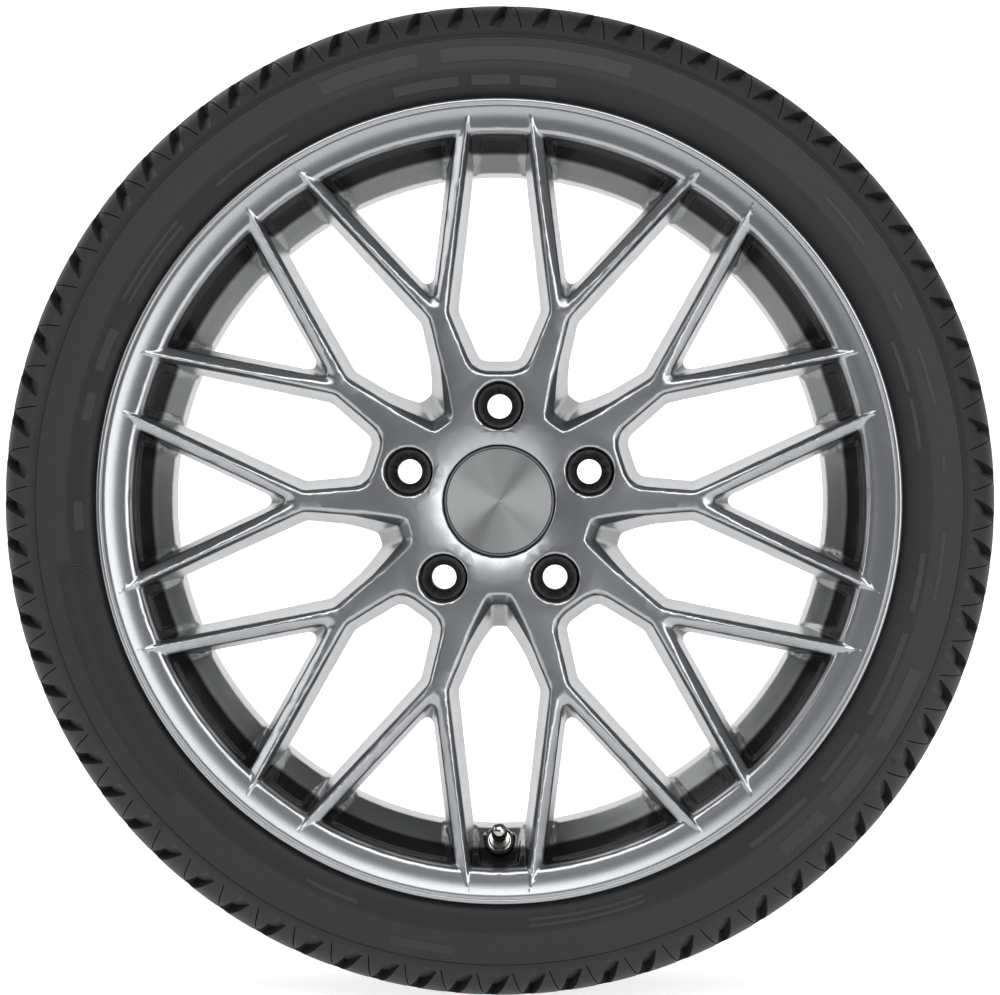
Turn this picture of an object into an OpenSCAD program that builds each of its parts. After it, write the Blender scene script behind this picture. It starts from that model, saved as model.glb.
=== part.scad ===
// Passenger car wheel: a low-profile summer tyre on a cast alloy rim with ten Y spokes.
// The origin is on the spin axis in the middle of the rim width. The spin axis is Y,
// the styled side faces -Y and +Z is up. Lengths are millimetres, angles are degrees.

/* [Rim] */
// Diameter of the bead seats
bead_seat_d = 436.6; // [400:0.2:524]
// Width between the two flanges
rim_w = 177.8; // [165:0.1:215]
// Distance from the middle of the rim out to the mounting face
rim_offset = 40; // [30:1:48]
// Height of a flange above its bead seat
flange_h = 17.3; // [14:0.1:18]
// Width of a flange outside the bead
flange_w = 12.7; // [11:0.1:14]
// Radius of the flange curl that the bead leans on
flange_curl = 9.5; // [8:0.1:9.5]
// Depth of the drop well below the bead seats
well_drop = 17.8; // [16:0.1:20]
// Wall of the barrel
barrel_wall = 5.9; // [4.5:0.1:7]

/* [Hub] */
// Bolt circle diameter
pcd = 112; // [108:0.5:135]
// Diameter of the bolt holes
bolt_hole_d = 14.5; // [12.5:0.1:17.5]
// Diameter of the pockets in front of the bolt seats
bolt_pocket_d = 28.4; // [25:0.1:31]
// Metal behind a bolt seat
bolt_seat_land = 20.5; // [12:0.5:26]
// Full angle of the conical bolt seats
bolt_seat_angle = 60; // [50:1:90]
// Diameter of the centre bore
centre_bore_d = 57.1; // [54:0.1:57.5]
// Thickness of the hub from its mounting face to its front
hub_t = 52; // [46:0.5:58]
// Diameter of the mounting pad
pad_d = 147; // [140:1:150]

/* [Spokes] */
// Distance from the spin axis to the point where a spoke forks
fork_r = 111.6; // [106:0.2:134]
// Width of a fork arm below its bevels
arm_w = 8.8; // [7.4:0.1:10.6]
// How much wider an arm is at its back, on each side
arm_draft = 3.7; // [2.5:0.1:5]
// Width of a spoke stem below its bevels, at the fork
stem_w = 13; // [11:0.1:16]
// How much wider a stem is at its back, on each side
stem_draft = 5.7; // [4:0.1:7]
// Angle between the tips of two neighbouring arms
tip_gap = 9.8; // [8:0.1:12]
// Distance from the mounting plane to the back of the spokes
back_step = 15; // [10:0.5:20]
// Metal between a bolt pocket and the window above it
pocket_web = 6; // [4:0.1:9]
// Metal between the centre cap and the notch between two bolts
notch_web = 27.7; // [25:0.1:32]
// Depth of the pockets cast into the barrel between the arms
bay_depth = 1.6; // [1:0.1:2.4]

/* [Centre cap] */
// Diameter of the cap over its rim
cap_d = 64.8; // [62:0.1:66]
// Thickness of the cap's front
cap_t = 3.5; // [3:0.1:5]
// Diameter of the spun disc in the cap
cap_disc_d = 61.2; // [56:0.1:61.4]
// Thickness of the spun disc
cap_disc_t = 0.8; // [0.6:0.1:1.2]
// Gap around the cap
cap_gap = 0.4; // [0.3:0.05:0.8]

/* [Tyre] */
// Height of the tyre section from the bead seat to the tread
section_h = 76.7; // [63:0.1:95]
// Width of the tyre over its sidewalls
section_w = 196; // [190:0.5:236]
// Thickness of tread and belts at the crown
crown_t = 12.5; // [11:0.1:15]
// Thickness of a sidewall at its widest place
side_t = 8; // [6.5:0.1:9.6]
// Depth of the tread grooves
groove_h = 7.5; // [5:0.1:8]
// Width of a main groove around the tread
groove_w = 9; // [6:0.1:12]
// Distance between the middles of two main grooves
groove_pitch = 34; // [28:0.5:38]
// Shoulder grooves on each side
shoulder_n = 76; // [40:1:84]
// Width of a shoulder groove
shoulder_groove_w = 5.6; // [3:0.1:6.8]

/* [Valve] */
// Depth of the valve seat below the bead seat
valve_drop = 16; // [15:0.1:17]
// Tilt of the valve towards the spin axis
valve_tilt = 17; // [12:0.5:22]
// Diameter of the valve hole
valve_hole_d = 11.3; // [10.5:0.1:12]
// Thickness of the rim at the valve
valve_wall = 5; // [4:0.1:6.5]
// Length of the valve stem outside the rim
valve_len = 31; // [26:0.5:34]
// Diameter of the valve stem
stem_d = 8; // [7.8:0.1:8.4]
// Travel of the pin that opens the valve
pin_travel = 1.2; // [0.8:0.1:1.5]

/* [Hidden] */
$fn = 96;

spokes = 10;
bolts = 5;
half_step = 180 / spokes;

// Rim section: radii, and distances along the spin axis
seat_r = bead_seat_d / 2;
half_w = rim_w / 2;
flange_r = seat_r + flange_h;
lip_y = half_w + flange_w;
well_r = seat_r - well_drop;
barrel_r = seat_r - 8;
bay_r = well_r - barrel_wall;
well_start = rim_offset + 4;
well_end = well_start - 32;
foot_r = bay_r - bay_depth;
foot_y = rim_offset + 10;
curl_r = flange_r - flange_curl;
curl_y = half_w + flange_curl;
lip_in_r = seat_r - 2.1;
lip_in_y = lip_y - 4.2;
edge = 1.6;

// Hub and spokes
face_y = rim_offset + hub_t;
pad_r = pad_d / 2;
tip_r = flange_r - 8;
crown_r = 85;
face_rise = lip_y - 0.3 - face_y;
dish = 3.5;
dish_r = 60;
cap_r = cap_d / 2;
recess_r = cap_r + cap_gap;
recess_y = face_y - dish - cap_t;
clip_y = recess_y - 7;
groove_y = recess_y - 15;
clip_r = centre_bore_d / 2 - 0.3;
stem_flare = 4.5;
notch_angle = 30;
notch_half = 4.7;
window_floor = pcd / 2 + bolt_pocket_d / 2 + pocket_web;
notch_floor = recess_r + notch_web;
pad_pocket_d = 19;
pad_pocket_h = 9;

// Bevels round the windows: their depth, and how far they run for each millimetre of depth
bevel_hub = 2.6;
bevel_arm = 5;
bevel_notch = 7;
run_hub = 0.85;
run_pair = 0.62;
run_fork = 1.28;
pair_bay_gap = 5.8;
fork_bay_gap = 5.6;
back_turn = 1.5;
back_draft = 1.7;
over = 3;
arc_steps = 3;
draft_ref = 36;

// Tyre section
tyre_r = seat_r + section_h;
side_y = section_w / 2;
widest_r = seat_r + 37.7;
toe_y = half_w - 19;
bead_t = 13.4;
groove_lean = 16;
groove_slant = 11;
pitch_wave = 0.9;

// Valve, along its own axis from its seat on the rim
valve_r = seat_r - valve_drop;
valve_y = rim_offset + 20;
socket_d = 18;
socket_h = 18;
socket_r = socket_d / 2 - 0.3;
boss_d = 19.2;
boss_h = 9;
inner_face_h = 16;
inner_face_d = 14.6;
fit = 0.05;
free = 0.15;
flange_in_h = 3;
head_r = 6.7;
flange_out_h = 2.4;
washer_h = 1;
nut_h = 5.5;
nut_af = 11;
thread_d = 7.7;
core_bore_d = 5;
air_d = 4.2;
core_y = 12;
core_seat_y = core_y + 2.6;
spring_y = core_seat_y + 4.4;
core_top_y = valve_len - 1.4;
core_inside_d = 3.8;
pin_d = 1.4;
plate_d = 3.4;
plate_h = 0.8;
seal_d = 4.3;
seal_h = 1;
plate_y = core_seat_y - fit - seal_h - plate_h;
collar_d = 3.2;
collar_y = valve_len - 4.6;
cap_wall = 0.8;
dome_r = thread_d / 2 + 0.4;
dome_h = 3.2;
cap_skirt = 9;

// Reach of the spoke face at radius r: a dished hub, then a rise to the lip
function dish_at(r) = dish * pow(max(0, dish_r - r) / (dish_r - recess_r), 2);
function rise_at(r) = face_rise * pow(max(0, r - crown_r) / (tip_r - crown_r), 1.6);
function face_at(r) = face_y - dish_at(r) + rise_at(r);

// Depth of an arm's bevels at radius r: they grow until the arm is a ridge
function bevel_at(r) = bevel_hub
    + (bevel_arm - bevel_hub) * min(1, max(0, (r - fork_r) / (foot_r - fork_r)));

function arc(c, r, a0, a1, n) = [for (i = [0 : n]) let (a = a0 + (a1 - a0) * i / n)
    [c[0] + r * cos(a), c[1] + r * sin(a)]];
function other_side(p) = [for (i = [len(p) - 1 : -1 : 0]) [p[i][0], -p[i][1]]];
function last(v) = v[len(v) - 1];
function polar(r, a) = [r * sin(a), r * cos(a)];

// A window is drawn with x across it and z away from the spin axis. Each side is
// [angle of its outward normal, point on it, draft, bevel run, bevel at its start and end,
// turn of its back line].
function across(s, shift) = s[1][0] * cos(s[0]) + s[1][1] * sin(s[0]) + shift;
function mirrored(s) = [180 - s[0], [-s[1][0], s[1][1]], s[2], s[3], s[5], s[4], -s[6]];
function crossing(s, t, i, j) = [i * sin(t) - j * sin(s), j * cos(s) - i * cos(t)]
    / sin(t - s);

// The points that round one corner between two sides, each side moved out by its shift
function corner(s, t, shift_s, shift_t, r) = let (c = crossing(s[0], t[0],
        across(s, shift_s) - r, across(t, shift_t) - r),
        sweep = (t[0] - s[0] + 360) % 360)
    r == 0 ? [c] : arc(c, r, s[0], s[0] + sweep, arc_steps);

// Joins the corners, with evenly spaced points between them along the sides
function joined(corners, splits) = [for (k = [0 : len(corners) - 1])
    let (p = last(corners[k]), q = corners[(k + 1) % len(corners)][0])
    each concat(corners[k], [for (i = [1 : 1 : splits[k] - 1]) p + (q - p) * i / splits[k]])];

// The cutter of a window: its walls run in towards the back and its bevel runs out
module window_cutter(sides, wall_radii, back_radii, splits) {
    back_y = rim_offset - 12;
    front_y = lip_y + 6;
    count = len(sides);
    next = [for (k = [0 : count - 1]) (k + 1) % count];
    deeper = (face_y - bevel_hub - back_y) / draft_ref;
    function rounds(lines, shift_s, shift_t, radii) = [for (k = [0 : count - 1])
        corner(lines[k], lines[next[k]], shift_s[k], shift_t[k], radii[k])];
    zero = [for (s = sides) 0];
    wall = joined(rounds(sides, zero, zero, wall_radii), splits);
    back_lines = [for (s = sides) [s[0] + s[6], s[1]]];
    back = joined(rounds(back_lines, [for (s = sides) -deeper * s[2]],
        [for (k = next) -deeper * sides[k][2]], back_radii), splits);
    top_corners = rounds(sides, [for (s = sides) s[3] * (s[5] + over)],
        [for (k = next) sides[k][3] * (sides[k][4] + over)],
        [for (k = [0 : count - 1]) wall_radii[k] > 0 ? wall_radii[k] + 1 : 0]);
    // Bevel depth of each wall point, and the way its bevel runs: [0, 0] keeps the corner
    notes = [for (k = [0 : count - 1]) let (s = sides[next[k]])
        each concat([for (p = top_corners[k]) [sides[k][5], p]],
            [for (i = [1 : 1 : splits[k] - 1]) [undef, [cos(s[0]), sin(s[0])] * s[3]]])];
    n = len(wall);
    bevel = [for (k = [0 : n - 1]) is_undef(notes[k][0]) ? bevel_at(norm(wall[k])) : notes[k][0]];
    top = [for (k = [0 : n - 1]) is_undef(notes[k][0])
        ? wall[k] + notes[k][1] * (bevel[k] + over) : notes[k][1]];
    reach = [for (p = wall) face_at(norm(p))];
    points = concat(
        [for (p = back) [p[0], -p[1], -back_y]],
        [for (k = [0 : n - 1]) [wall[k][0], -wall[k][1], bevel[k] - reach[k]]],
        [for (k = [0 : n - 1]) [top[k][0], -top[k][1], -over - reach[k]]],
        [for (p = top) [p[0], -p[1], -front_y]]);
    bands = [for (b = [0 : 2]) for (k = [0 : n - 1])
        let (i = b * n + k, j = b * n + (k + 1) % n)
        each [[j, i, i + n], [j, i + n, j + n]]];
    polyhedron(points, concat(bands, [[for (k = [0 : n - 1]) k]],
        [[for (k = [n - 1 : -1 : 0]) 3 * n + k]]));
}

// Sides of the three windows, from the spoke's centre lines
fork_pair = polar(fork_r, half_step);
tip_pair = polar(tip_r, tip_gap / 2);
pair_angle = atan2(tip_pair[0] - fork_pair[0], tip_pair[1] - fork_pair[1]);
fork_own = [0, fork_r];
tip_own = polar(tip_r, half_step - tip_gap / 2);
own_angle = atan2(tip_own[0], tip_own[1] - fork_r);
stem_angle = half_step + stem_flare;

function beside(p, a, gap) = p - gap * [cos(a), sin(a)];
pair_side = [-pair_angle, beside(fork_pair, -pair_angle, arm_w / 2), arm_draft + back_draft,
             run_pair, bevel_hub, bevel_arm, -back_turn];
fork_side = [-own_angle, beside(fork_own, -own_angle, arm_w / 2), arm_draft, run_fork,
             bevel_hub, bevel_arm, 0];
stem_side = [-stem_angle, beside(fork_pair, -stem_angle, stem_w / 2), stem_draft, run_hub,
             bevel_hub, bevel_hub, 0];
notch_side = [-notch_angle, [notch_half, notch_floor], 6.4, 0.7, bevel_notch, bevel_hub + 1, 0];
window_base = [-90, [0, window_floor], 6.5, run_hub, bevel_hub, bevel_hub, 0];
notch_base = [-90, [0, notch_floor], 11.4, 0.9, bevel_notch, bevel_notch, 0];
window_top = [90, [0, tip_r + 12], 0, 0, bevel_arm, bevel_arm, 0];
arm_splits = 6;

module bolt_window() {
    window_cutter([window_base, stem_side, pair_side, window_top,
        mirrored(pair_side), mirrored(stem_side)],
        [12, 8, 0, 0, 8, 12], [2.5, 2, 0, 0, 2, 2.5], [1, arm_splits, 1, arm_splits, 1, 1]);
}

module notch_window() {
    window_cutter([notch_base, notch_side, stem_side, pair_side, window_top,
        mirrored(pair_side), mirrored(stem_side), mirrored(notch_side)],
        [4, 0, 8, 0, 0, 8, 0, 4], [1.5, 0, 2, 0, 0, 2, 0, 1.5],
        [1, 1, arm_splits, 1, arm_splits, 1, 1, 1]);
}

module fork_window() {
    window_cutter([fork_side, window_top, mirrored(fork_side)],
        [0, 0, 2.5], [0, 0, 5], [1, arm_splits, arm_splits]);
}

// Turns a shape to its place on the clock face as seen from the styled side
module clock(a) rotate([0, 0, a]) children();
module each_clock(n, first) for (i = [0 : n - 1]) clock(first + 360 / n * i) children();

// The turned blank of hub and spokes, up into the rim
module disc_blank() {
    reach = [for (i = [0 : 24]) let (r = tip_r + 1 - (tip_r + 1 - recess_r) * i / 24)
        [r, -face_at(r)]];
    rotate_extrude() polygon(concat(
        [[0, -rim_offset], [pad_r, -rim_offset], [pad_r + 2.5, -rim_offset - 3],
         [pad_r + 9, -rim_offset - back_step + 4], [fork_r + 8, -rim_offset - back_step],
         [foot_r, -rim_offset - back_step - 1], [foot_r + 13, -foot_y - 12],
         [seat_r - 4, -half_w + 5], [seat_r + 0.7, -half_w - 4], [tip_r + 1, -lip_y + 4.5]],
        reach, [[0, -face_at(recess_r)]]));
}

// One flange with its bead seat and hump, from the lip inwards, on the tyre's side
function flange_profile() = concat(
    [[flange_r - edge, -lip_y], [flange_r, -lip_y + edge]],
    arc([curl_r, -curl_y], flange_curl, 0, 90, 9),
    [[seat_r + 1.5, -half_w], [seat_r + 0.2, -half_w + 1.2], [seat_r - 1.4, -half_w + 20],
     [seat_r + 0.4, -half_w + 22.5], [seat_r - 1.6, -half_w + 25.5]]);

// The barrel with its drop well and both flanges. The feet of the arms are level with its
// inside, and the bays between them are cut out of it.
module barrel_blank() {
    rotate_extrude() polygon(concat(
        flange_profile(),
        [[well_r, -well_start], [well_r, -well_end], [barrel_r, -well_end + 19],
         [barrel_r, half_w - 30]],
        other_side(flange_profile()),
        [[flange_r - 5, lip_y], [curl_r - 3, curl_y], [seat_r - 3, half_w + 5],
         [seat_r - 7, half_w - 1], [barrel_r - barrel_wall, half_w - 30],
         [barrel_r - barrel_wall, -well_end + 21], [bay_r, -well_end - 1],
         [bay_r, -foot_y + 2.5], [foot_r, -foot_y], [seat_r - 13, -half_w + 15],
         [lip_in_r - 1.6, -half_w - 4], [lip_in_r, -lip_in_y], [lip_in_r + 1.8, -lip_in_y - 0.9],
         [flange_r - 4.1, -lip_y + 0.5], [flange_r - 3.5, -lip_y + 0.9],
         [flange_r - 2.9, -lip_y + 0.4]]));
}

// What the bays take out of the barrel: down to the well, and up under the lip
module bay_ring() {
    rotate_extrude() polygon([[foot_r - 4, -foot_y + 4], [bay_r, -foot_y + 4],
        [bay_r, -foot_y - 2], [seat_r - 11, -half_w + 16], [seat_r - 6, -half_w + 7], [seat_r - 4.6, -half_w - 3],
        [lip_in_r - 0.3, -lip_in_y + 0.9], [foot_r - 4, -lip_in_y + 0.9]]);
}

// Outline of a bay at the level of the barrel, parallel to the arms beside it
module bay_outline(side, gap) {
    a = -side[0];
    foot = side[1] - gap * [cos(side[0]), sin(side[0])];
    low = foot + [sin(a), cos(a)] * ((foot_r - 8 - foot[1]) / cos(a));
    high = foot + [sin(a), cos(a)] * ((seat_r + 6 - foot[1]) / cos(a));
    linear_extrude(height = 60) polygon([[low[0], -low[1]], [high[0], -high[1]],
        [-high[0], -high[1]], [-low[0], -low[1]]]);
}

module bays() {
    intersection() {
        bay_ring();
        translate([0, 0, -lip_y]) {
            each_clock(spokes, 0) bay_outline(pair_side, pair_bay_gap);
            each_clock(spokes, half_step) bay_outline(fork_side, fork_bay_gap);
        }
    }
}

// A bolt hole from the mounting face to its conical seat and the pocket in front of it
module bolt_hole() {
    seat_top_r = bolt_pocket_d / 2 - 1.5;
    cone_h = (seat_top_r - bolt_hole_d / 2) / tan(bolt_seat_angle / 2);
    seat_y = rim_offset + bolt_seat_land;
    translate([0, -pcd / 2, 0]) {
        translate([0, 0, -face_y]) cylinder(d = bolt_hole_d, h = hub_t + 10);
        translate([0, 0, -seat_y - cone_h])
            cylinder(r1 = seat_top_r, r2 = bolt_hole_d / 2, h = cone_h);
        translate([0, 0, -face_y - 5])
            cylinder(r = seat_top_r, h = face_y + 5 - seat_y - cone_h);
        translate([0, 0, -face_y - 5])
            cylinder(d = bolt_pocket_d, h = face_y + 5 - seat_y - cone_h - 2);
    }
}

module centre_bore() {
    bore_r = centre_bore_d / 2;
    translate([0, 0, -groove_y]) cylinder(r = bore_r, h = groove_y);
    translate([0, 0, -rim_offset - 2]) cylinder(r1 = bore_r, r2 = bore_r + 2.2, h = 2.2);
    translate([0, 0, -clip_y]) cylinder(r = bore_r + 1.6, h = clip_y - groove_y);
    translate([0, 0, -recess_y - 1]) cylinder(r = clip_r, h = recess_y + 1 - clip_y);
    translate([0, 0, -face_y - 5]) cylinder(r = recess_r, h = face_y + 5 - recess_y);
}

// Moves a shape from the valve's own axis to its place in the rim, in the wheel's frame
module valve_place() {
    translate([0, -valve_y, -valve_r]) rotate([90 - valve_tilt, 0, 0]) children();
}

// The half boss that fills out the valve seat on the side of the spin axis
module valve_boss() {
    valve_place() translate([0, 0, -boss_h]) intersection() {
        cylinder(d = boss_d, h = boss_h);
        translate([-boss_d, 0, 0]) cube([2 * boss_d, boss_d, boss_h]);
    }
}

module spun() rotate([-90, 0, 0]) children();

module wheel() {
    color("silver") difference() {
        union() {
            spun() difference() {
                union() {
                    difference() {
                        disc_blank();
                        each_clock(bolts, 0) bolt_window();
                        each_clock(bolts, 180 / bolts) notch_window();
                        each_clock(spokes, half_step) fork_window();
                    }
                    difference() {
                        barrel_blank();
                        bays();
                    }
                }
                each_clock(bolts, 0) bolt_hole();
                each_clock(bolts, 180 / bolts)
                    translate([0, -pcd / 2, -rim_offset - pad_pocket_h])
                    cylinder(d = pad_pocket_d, h = pad_pocket_h + 1);
                centre_bore();
            }
            valve_boss();
        }
        valve_place() {
            cylinder(d = socket_d, h = socket_h);
            translate([0, -socket_d / 2 + 0.2, 0.4]) rotate([valve_tilt, 0, 0])
                translate([0, socket_r, 0]) cylinder(r = socket_r, h = socket_h);
            translate([0, 0, -valve_wall - 1]) cylinder(d = valve_hole_d, h = valve_wall + 2);
            translate([0, 0, -valve_wall - inner_face_h]) cylinder(d = inner_face_d, h = inner_face_h);
        }
    }
}

// Outer and inner line of the tyre section, from the bead to the crown, for one side
function tyre_outer() = concat(
    [[seat_r - 1.2, -toe_y], [seat_r + 0.2, -half_w + 1.2], [seat_r + 1.5, -half_w]],
    arc([curl_r, -curl_y], flange_curl, 90, 40, 5),
    [[flange_r + 1.2, -curl_y + 3.6], [flange_r + 4, -side_y + 1.4],
     [widest_r - 8, -side_y + 0.2], [widest_r, -side_y], [widest_r + 9, -side_y + 0.6],
     [widest_r + 15.4, -side_y + 1.6], [widest_r + 16.2, -side_y + 1.2],
     [widest_r + 17, -side_y + 2.2], [tyre_r - 16.5, -side_y + 5.5],
     [tyre_r - 11, -side_y + 10], [tyre_r - 6.4, -side_y + 16.5],
     [tyre_r - 3.6, -side_y + 25], [tyre_r - 2, -side_y + 38]]);
function crown_at(y) = tyre_r - 2 * pow(y / (side_y - 38), 2);
function tyre_inner() = [[tyre_r - crown_t, -side_y + 40], [tyre_r - crown_t - 3, -side_y + 26],
    [tyre_r - crown_t - 10, -side_y + side_t + 7], [widest_r + 6, -side_y + side_t],
    [widest_r - 6, -side_y + side_t + 0.6], [flange_r + 2, -curl_y + bead_t],
    [seat_r + 8, -toe_y - 3.5], [seat_r + 1, -toe_y]];

// The four main grooves, across the tread from one shoulder to the other
function groove_at(i) = let (y = (i - 1.5) * groove_pitch, h = groove_w / 2)
    [[crown_at(y - h), y - h], [crown_at(y) - groove_h, y - h + 1.6],
     [crown_at(y) - groove_h, y + h - 1.6], [crown_at(y + h), y + h]];

// A groove that starts beside the outer main groove and runs out over the shoulder,
// slanted across the tread and leaning on the sidewall
module shoulder_groove() {
    start_y = -groove_pitch * 1.5 - groove_w / 2 - 4;
    floor_r = tyre_r - groove_h;
    foot = tyre_r - 11;
    translate([0, -foot, -side_y + 8]) rotate([0, groove_slant, groove_lean])
        translate([0, foot, side_y - 8]) rotate([90, 0, -90])
        linear_extrude(height = shoulder_groove_w, center = true) polygon([
            [tyre_r + 6, start_y], [floor_r + 0.8, start_y - 1.5], [floor_r - 1, -side_y + 26],
            [floor_r - 4, -side_y + 16], [tyre_r - 16.2, -side_y + 5.4],
            [tyre_r - 14, -side_y - 12], [tyre_r + 6, -side_y - 12]]);
}

// Places of the shoulder grooves, with a pitch that swells and shrinks five times round
function groove_clock(i) = 360 / shoulder_n * i + pitch_wave * sin(360 / shoulder_n * i * 5);

module shoulder_grooves() {
    for (i = [0 : shoulder_n - 1]) clock(groove_clock(i)) shoulder_groove();
}

module tyre() {
    color("#2b2b2c") spun() difference() {
        rotate_extrude() polygon(concat(tyre_outer(),
            [for (i = [0 : 3]) each groove_at(i)],
            other_side(tyre_outer()), other_side(tyre_inner()), tyre_inner()));
        shoulder_grooves();
        mirror([0, 0, 1]) clock(180 / shoulder_n) shoulder_grooves();
    }
}

module cap_body() {
    color("#26282a") spun() difference() {
        rotate_extrude() polygon([[cap_disc_d / 2 + 0.1, -recess_y - cap_t + 1],
            [cap_disc_d / 2 + 0.1, -recess_y - cap_t + 0.3],
            [cap_disc_d / 2 + 0.5, -recess_y - cap_t], [cap_r - 0.6, -recess_y - cap_t],
            [cap_r, -recess_y - cap_t + 0.6], [cap_r, -recess_y],
            [clip_r - 0.3, -recess_y], [clip_r - 0.3, -clip_y + 0.6], [clip_r + 0.9, -clip_y + 1.6],
            [clip_r + 0.9, -clip_y + 2.6], [clip_r - 0.8, -groove_y - 2],
            [clip_r - 2.6, -groove_y - 2], [clip_r - 2.6, -recess_y + 1.5],
            [0, -recess_y + 1.5], [0, -recess_y - cap_t + 1]]);
        each_clock(8, 22.5) translate([-2, -clip_r - 2, -recess_y + 2.5]) cube([4, 8, 20]);
    }
}

module cap_disc() {
    color("lightgrey") spun() translate([0, 0, -recess_y - cap_t + 1 - cap_disc_t])
        cylinder(d = cap_disc_d, h = cap_disc_t);
}

module cap_spring_ring() {
    color("grey") spun() translate([0, 0, -clip_y + 2]) rotate([0, 0, 100])
        rotate_extrude(angle = 340) translate([clip_r - 3.5, 0]) circle(r = 0.8, $fn = 24);
}

module valve_stem() {
    color("darkgrey") valve_place() rotate_extrude() polygon([
        [air_d / 2, -valve_wall - flange_in_h - 2.4],
        [head_r, -valve_wall - flange_in_h - 2.4], [head_r, -valve_wall - flange_in_h], [stem_d / 2, -valve_wall - flange_in_h],
        [stem_d / 2, valve_len - 10.2], [thread_d / 2, valve_len - 9.6],
        [thread_d / 2, valve_len - 0.5], [thread_d / 2 - 0.5, valve_len],
        [core_bore_d / 2 + 0.4, valve_len], [core_bore_d / 2, valve_len - 0.5],
        [core_bore_d / 2, core_y], [air_d / 2, core_y - 1.2]]);
}

module valve_grommet() {
    bore = stem_d / 2 + fit;
    color("#1c1c1c") valve_place() rotate_extrude() polygon([
        [bore, -valve_wall - flange_in_h], [head_r, -valve_wall - flange_in_h], [head_r + 0.3, -valve_wall],
        [valve_hole_d / 2 - fit, -valve_wall], [valve_hole_d / 2 - fit, 0], [8.5, 0],
        [8.5, flange_out_h - 0.9], [7.8, flange_out_h], [bore, flange_out_h]]);
}

module valve_washer() {
    color("silver") valve_place() translate([0, 0, flange_out_h]) difference() {
        cylinder(r1 = 7.1, r2 = 6.7, h = washer_h);
        translate([0, 0, -1]) cylinder(d = stem_d + 0.3, h = washer_h + 2);
    }
}

module valve_nut() {
    color("silver") valve_place() translate([0, 0, flange_out_h + washer_h]) difference() {
        intersection() {
            cylinder(d = nut_af / cos(30), h = nut_h, $fn = 6);
            cylinder(r1 = nut_af / 2 + nut_h + 0.2, r2 = nut_af / 2 + 0.2, h = nut_h);
        }
        translate([0, 0, -1]) cylinder(d = stem_d + 2 * fit, h = nut_h + 2);
    }
}

module valve_core_body() {
    r = core_bore_d / 2 - fit;
    color("#b8963e") valve_place() rotate_extrude() polygon([
        [pin_d / 2 + free, core_seat_y], [r, core_seat_y], [r, core_top_y],
        [core_inside_d / 2, core_top_y], [core_inside_d / 2, spring_y],
        [pin_d / 2 + free, spring_y]]);
}

module valve_core_pin() {
    color("#c8a850") valve_place() {
        translate([0, 0, plate_y]) cylinder(d = pin_d, h = valve_len - 0.4 - plate_y);
        translate([0, 0, plate_y]) cylinder(d = plate_d, h = plate_h);
        translate([0, 0, collar_y]) cylinder(d = collar_d, h = plate_h);
    }
}

module valve_core_seal() {
    color("#202020") valve_place() translate([0, 0, plate_y + plate_h]) difference() {
        cylinder(d = seal_d, h = seal_h);
        translate([0, 0, -1]) cylinder(d = pin_d + 2 * fit, h = seal_h + 2);
    }
}

// A coil of fine wire round the pin, between the body's shoulder and the pin's collar
module valve_core_spring() {
    turns = 5;
    per_turn = 10;
    wire_sides = 5;
    wire_r = 0.15;
    coil_r = (pin_d + core_inside_d) / 4;
    low = spring_y + wire_r + fit;
    high = collar_y - wire_r - fit;
    rings = turns * per_turn;
    points = [for (i = [0 : rings]) for (j = [0 : wire_sides - 1])
        let (a = 360 * i / per_turn, b = 360 * j / wire_sides, r = coil_r + wire_r * cos(b))
        [r * cos(a), r * sin(a), low + (high - low) * i / rings + wire_r * sin(b)]];
    sides = [for (i = [0 : rings - 1]) for (j = [0 : wire_sides - 1])
        let (p = i * wire_sides + j, q = i * wire_sides + (j + 1) % wire_sides)
        each [[p, q, q + wire_sides], [p, q + wire_sides, p + wire_sides]]];
    color("grey") valve_place() polyhedron(points, concat(sides,
        [[for (j = [wire_sides - 1 : -1 : 0]) j]],
        [[for (j = [0 : wire_sides - 1]) rings * wire_sides + j]]));
}

module valve_cap() {
    inner = thread_d / 2 + fit;
    outer = inner + cap_wall;
    base = valve_len - cap_skirt;
    color("silver") valve_place() rotate_extrude() polygon(concat(
        [[inner, base], [outer - 0.3, base], [outer, base + 0.3], [outer, base + 5.6],
         [dome_r, base + 6.2]],
        [for (a = [0 : 9 : 90]) [dome_r * cos(a), valve_len + 1 + dome_h * sin(a)]],
        [[0, valve_len + 1.2], [inner, valve_len + 1.2]]));
}

module valve_cap_gasket() {
    color("#303030") valve_place() translate([0, 0, valve_len]) difference() {
        cylinder(r = thread_d / 2, h = 1.2);
        translate([0, 0, -1]) cylinder(r = 2.4, h = 4);
    }
}

tyre();
wheel();
cap_body();
cap_disc();
cap_spring_ring();
valve_stem();
valve_grommet();
valve_washer();
valve_nut();
valve_core_body();
valve_core_pin();
valve_core_seal();
valve_core_spring();
valve_cap();
valve_cap_gasket();
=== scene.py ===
import math

import bpy
from mathutils import Matrix, Vector, kdtree


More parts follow.
